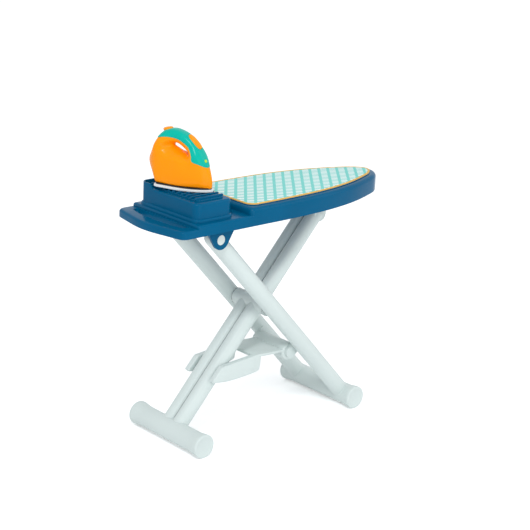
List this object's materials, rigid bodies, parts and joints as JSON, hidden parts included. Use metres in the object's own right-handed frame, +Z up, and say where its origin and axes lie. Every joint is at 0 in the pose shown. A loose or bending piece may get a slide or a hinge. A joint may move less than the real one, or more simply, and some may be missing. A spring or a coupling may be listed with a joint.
{
  "type": "toy ironing board",
  "caption": "Toy ironing board with a padded top, a rest box carrying a toy iron, a folding crossed-leg frame with a locking stay, and tube feet.",
  "frame": {"origin": "on the floor under the middle of the board", "axes": "+X from the handle end to the nose, +Y across the board, +Z up; the frame stands unfolded"},
  "size_m": [0.6249, 0.216, 0.6483],
  "materials": {
    "blue_plastic": "satin",
    "grey_plastic": "satin",
    "pad_foam": "soft foam",
    "pad_cloth": "printed cotton",
    "pad_binding": "woven tape",
    "orange_plastic": "gloss",
    "teal_plastic": "gloss",
    "sole_grey_plastic": "satin",
    "lamp_green_plastic": "gloss"
  },
  "bodies": {
    "board": {"deck": "blue_plastic", "iron_rest": "blue_plastic", "hinge_ear_near": "blue_plastic", "hinge_ear_far": "blue_plastic", "runner_near": "blue_plastic", "runner_far": "blue_plastic", "pad_foam": "pad_foam", "pad_cloth": "pad_cloth", "pad_binding": "pad_binding"},
    "outer_leg": {"outer_tube_near": "grey_plastic", "outer_tube_far": "grey_plastic", "ear_peg_near": "grey_plastic", "ear_peg_far": "grey_plastic", "stay_lug_near": "grey_plastic", "stay_lug_far": "grey_plastic", "mid_axle": "grey_plastic", "stay_pin": "grey_plastic", "front_foot_tube": "grey_plastic", "front_foot_cap_near": "grey_plastic", "front_foot_cap_far": "grey_plastic"},
    "inner_leg": {"inner_leg": "grey_plastic", "rear_foot_tube": "grey_plastic", "rear_foot_cap_near": "grey_plastic", "rear_foot_cap_far": "grey_plastic"},
    "stay": {"locking_stay": "grey_plastic"},
    "iron": {"iron_body_near": "orange_plastic", "iron_body_far": "orange_plastic", "iron_handle_cover": "teal_plastic", "iron_sole": "sole_grey_plastic", "iron_fill_knob": "orange_plastic", "iron_lamp": "lamp_green_plastic"},
    "iron_button": {"iron_thumb_button": "orange_plastic"}
  },
  "joints": [
    {"name": "outer_leg_fold", "type": "hinge", "parent": "board", "child": "outer_leg", "pos_m": [-0.1915, 0, 0.443], "axis": [0, -1, 0], "range_deg": [0, 42.06]},
    {"name": "inner_leg_fold", "type": "hinge", "parent": "outer_leg", "child": "inner_leg", "pos_m": [-0.01914, 0, 0.25779], "axis": [0, -1, 0], "range_deg": [-84.12, 0]},
    {"name": "stay_swing", "type": "hinge", "parent": "outer_leg", "child": "stay", "pos_m": [0.04834, 0, 0.14711], "axis": [0, 1, 0], "range_deg": [0, 36]},
    {"name": "iron_lift", "type": "slide", "parent": "board", "child": "iron", "axis": [0, 0, 1], "range_m": [0, 0.12]},
    {"name": "thumb_button_press", "type": "slide", "parent": "iron", "child": "iron_button", "axis": [-0.218, 0.6155, -0.7574], "range_m": [0, 0.0025], "stiffness_N_per_m": 200}
  ],
  "couplings": [
    {"joint": "inner_leg_fold", "follows": "outer_leg_fold", "ratio": -2}
  ]
}
